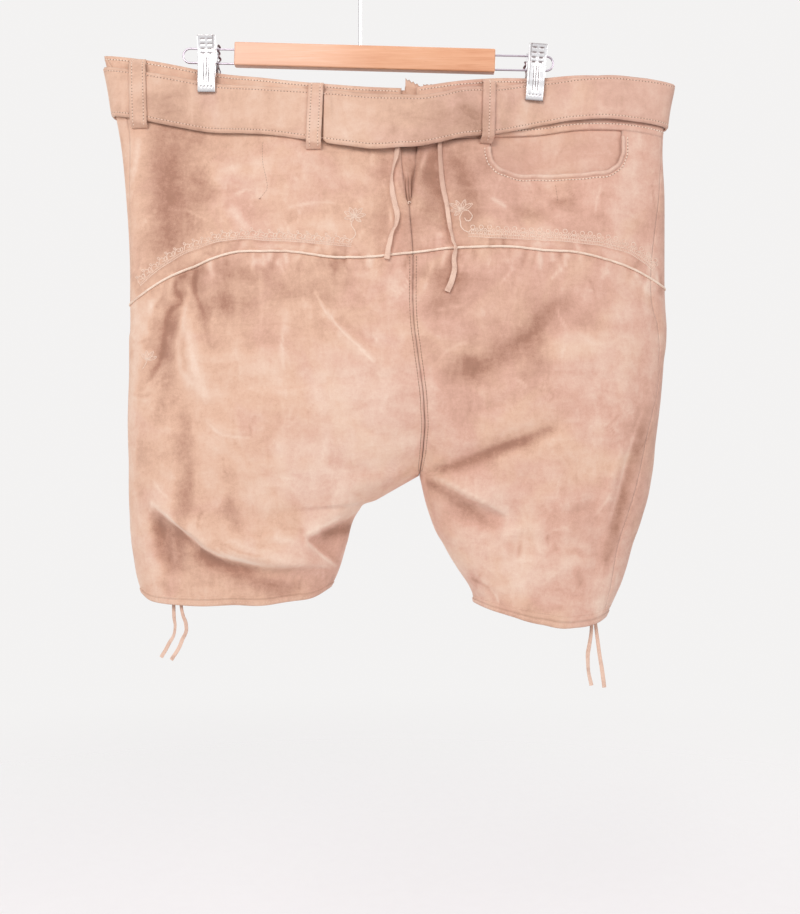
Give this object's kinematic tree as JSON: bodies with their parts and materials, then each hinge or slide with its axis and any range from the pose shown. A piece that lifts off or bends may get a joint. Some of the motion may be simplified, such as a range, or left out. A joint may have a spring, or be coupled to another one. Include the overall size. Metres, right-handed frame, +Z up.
{
  "type": "lederhosen on clip hanger",
  "caption": "Knee-length suede trousers with a laced back yoke, scooped pocket and belt, held by the waistband on a wooden clip hanger.",
  "frame": {"origin": "the point inside the hanger's hook that rests on a rail", "axes": "+Z up, the garment's back faces -Y, +X to the right seen from behind"},
  "size_m": [0.5931, 0.1092, 0.7555],
  "materials": {
    "suede": "pale tan suede, napped, mottled",
    "belt_suede": "doubled tan suede, stitched edges",
    "cream_leather": "cream leather cord and piping",
    "beech": "orange-stained beech, satin lacquer",
    "bright_steel": "bright plated steel",
    "old_brass": "dull brass",
    "horn": "brown horn"
  },
  "bodies": {
    "root": {"yoke_left": "suede", "yoke_right": "suede", "back_left": "suede", "back_right": "suede", "front_left": "suede", "front_right": "suede", "waistband_back_left": "suede", "waistband_back_right": "suede", "waistband_front_left": "suede", "waistband_front_right": "suede", "lacing_tongue": "suede", "pocket_facing": "suede", "hem_band_left": "suede", "hem_band_right": "suede", "front_flap": "suede", "belt": "belt_suede", "belt_keeper": "belt_suede", "belt_loop_back_left": "belt_suede", "belt_loop_back_middle": "belt_suede", "belt_loop_back_right": "belt_suede", "belt_loop_front_left": "belt_suede", "belt_loop_front_right": "belt_suede", "pocket_rim": "belt_suede", "yoke_piping_left": "cream_leather", "yoke_piping_right": "cream_leather", "back_lace_left": "cream_leather", "back_lace_right": "cream_leather", "leg_lace_left_outer": "cream_leather", "leg_lace_left_inner": "cream_leather", "leg_lace_right_inner": "cream_leather", "leg_lace_right_outer": "cream_leather", "hanger_bar": "beech", "hanger_hook": "bright_steel", "hanger_wire_left": "bright_steel", "hanger_wire_right": "bright_steel", "clip_left_jaw_back": "bright_steel", "clip_left_jaw_front": "bright_steel", "clip_left_pivot": "bright_steel", "clip_right_jaw_back": "bright_steel", "clip_right_jaw_front": "bright_steel", "clip_right_pivot": "bright_steel", "buckle_frame": "old_brass", "buckle_prong": "old_brass", "flap_button_1": "horn", "flap_button_2": "horn"}
  },
  "joints": []
}
